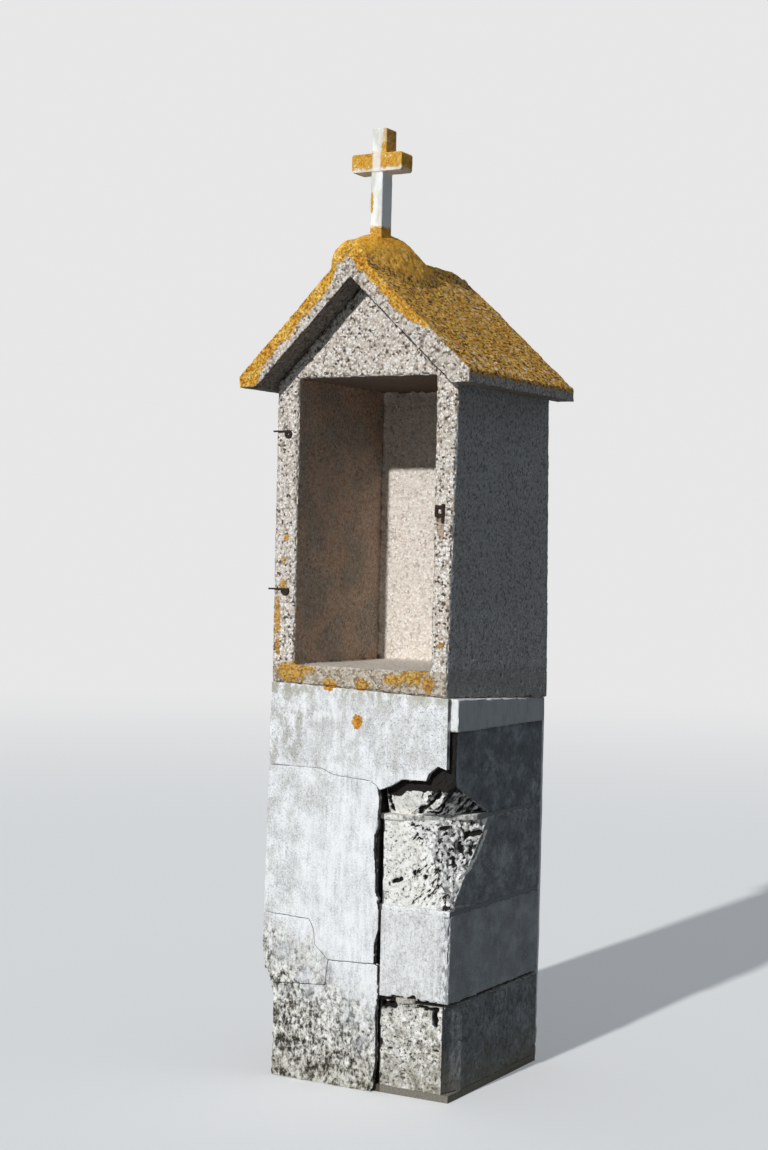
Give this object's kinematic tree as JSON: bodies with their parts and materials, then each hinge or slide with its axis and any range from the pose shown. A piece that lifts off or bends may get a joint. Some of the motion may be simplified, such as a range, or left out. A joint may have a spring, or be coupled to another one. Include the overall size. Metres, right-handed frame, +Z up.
{
  "type": "wayside shrine",
  "caption": "Weathered concrete wayside shrine: a cracked rendered block pillar carries an open pebbled niche with a gable roof and a small cross.",
  "frame": {"origin": "on level ground, below the centre of the niche: the middle of its width and depth", "axes": "+X to the right of someone facing the opening, +Y from the opening to the back, +Z up"},
  "size_m": [0.728, 0.679, 2.675],
  "materials": {
    "block_concrete": "bare and lime-washed concrete block, chipped",
    "bed_mortar": "rough cement mortar",
    "render_coat": "lime-washed render, worn and cracked",
    "pebble_concrete": "washed pebble concrete with dark grains",
    "roof_mortar": "mortar grown over with orange lichen",
    "cross_stone": "cast stone with orange lichen",
    "rusty_iron": "rusted wrought iron"
  },
  "bodies": {
    "root": {"course_1_left_block": "block_concrete", "course_1_right_block": "block_concrete", "course_2_left_block": "block_concrete", "course_2_right_block": "block_concrete", "course_3_left_block": "block_concrete", "course_3_right_block": "block_concrete", "course_4_left_block": "block_concrete", "course_4_right_block": "block_concrete", "footing_bed": "bed_mortar", "bed_joint_1": "bed_mortar", "bed_joint_2": "bed_mortar", "bed_joint_3": "bed_mortar", "levelling_bed": "bed_mortar", "front_render_band": "render_coat", "front_render_sheet": "render_coat", "front_render_patch": "render_coat", "front_render_foot": "render_coat", "back_render": "render_coat", "left_render": "render_coat", "floor_slab": "pebble_concrete", "left_wall": "pebble_concrete", "right_wall": "pebble_concrete", "back_wall": "pebble_concrete", "front_gable": "pebble_concrete", "rear_gable": "pebble_concrete", "ceiling_slab": "pebble_concrete", "left_roof_slab": "pebble_concrete", "right_roof_slab": "pebble_concrete", "left_roof_screed": "roof_mortar", "ridge_cap": "roof_mortar", "cross_mound": "roof_mortar", "cross": "cross_stone", "upper_hinge_eye": "rusty_iron", "lower_hinge_knuckle": "rusty_iron", "latch_keeper": "rusty_iron", "latch_pin": "rusty_iron"}
  },
  "joints": []
}
